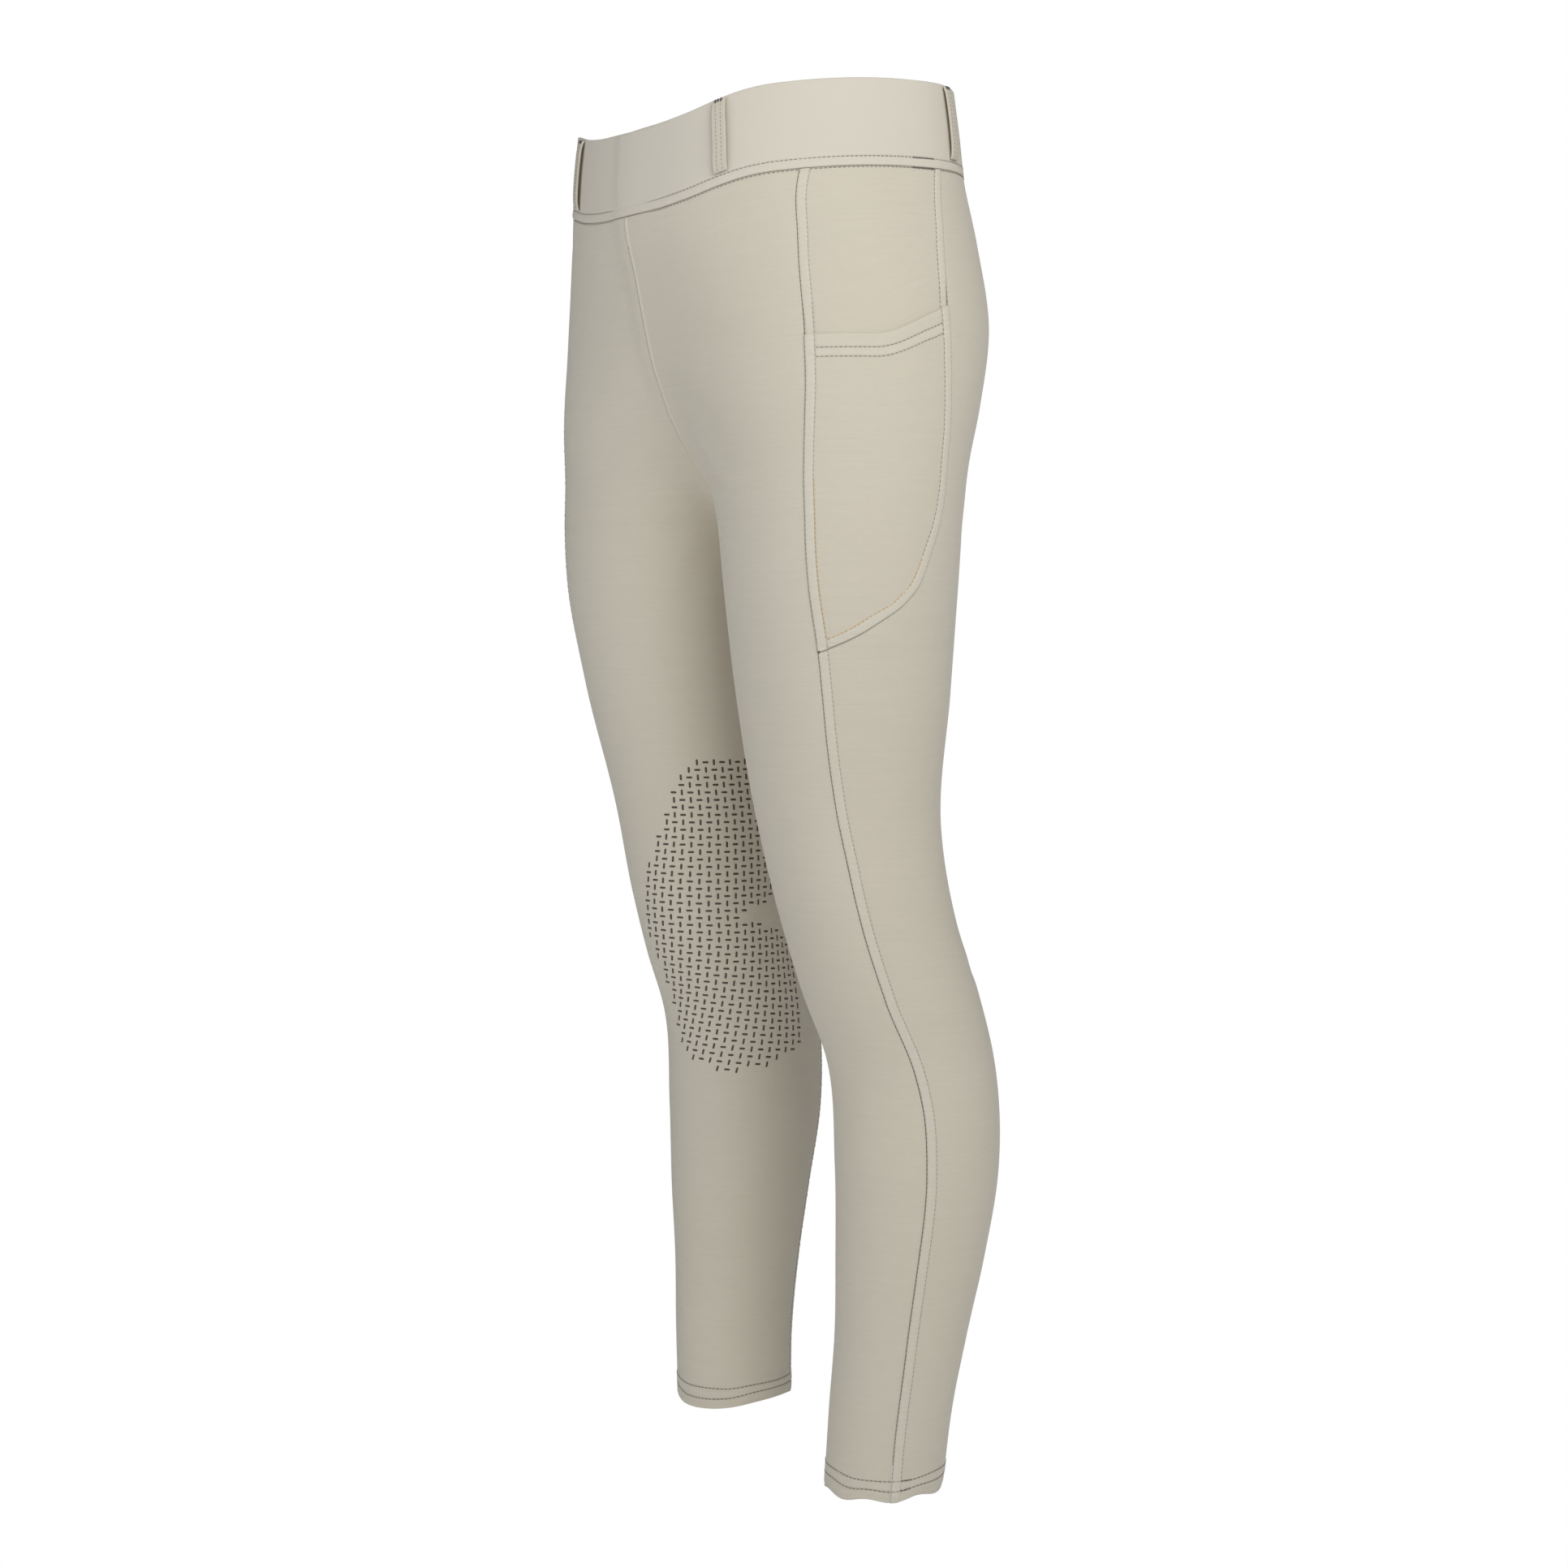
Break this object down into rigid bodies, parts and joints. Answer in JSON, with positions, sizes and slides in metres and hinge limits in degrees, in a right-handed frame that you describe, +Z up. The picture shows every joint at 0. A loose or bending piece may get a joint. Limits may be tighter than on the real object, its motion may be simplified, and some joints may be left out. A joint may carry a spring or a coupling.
{
  "type": "riding tights",
  "caption": "Pull-on riding tights filled out as worn: wide waistband with belt loops, two legs, a thigh pocket with a round bottom, grip print at the inner knees.",
  "frame": {"origin": "middle of the waistband's opening, half way up the band, where the wearer holds the tights up", "axes": "+Z up the garment, +X to the wearer's left, -Y to the wearer's front"},
  "size_m": [0.3421, 0.2168, 0.9085],
  "materials": {
    "knit": "matte fine stretch knit, beige",
    "band_knit": "matte fine stretch knit, beige, double layer",
    "loop_tape": "matte folded knit strip, beige",
    "thread": "taupe sewing thread",
    "grip_print": "matte dark silicone print"
  },
  "bodies": {
    "root": {"waistband": "band_knit", "front_left": "knit", "front_right": "knit", "back_left": "knit", "back_right": "knit", "side_panel_left": "knit", "pocket_left": "knit", "belt_loop_front_left": "loop_tape", "belt_loop_front_right": "loop_tape", "belt_loop_back_left": "loop_tape", "belt_loop_back_right": "loop_tape"}
  },
  "joints": []
}
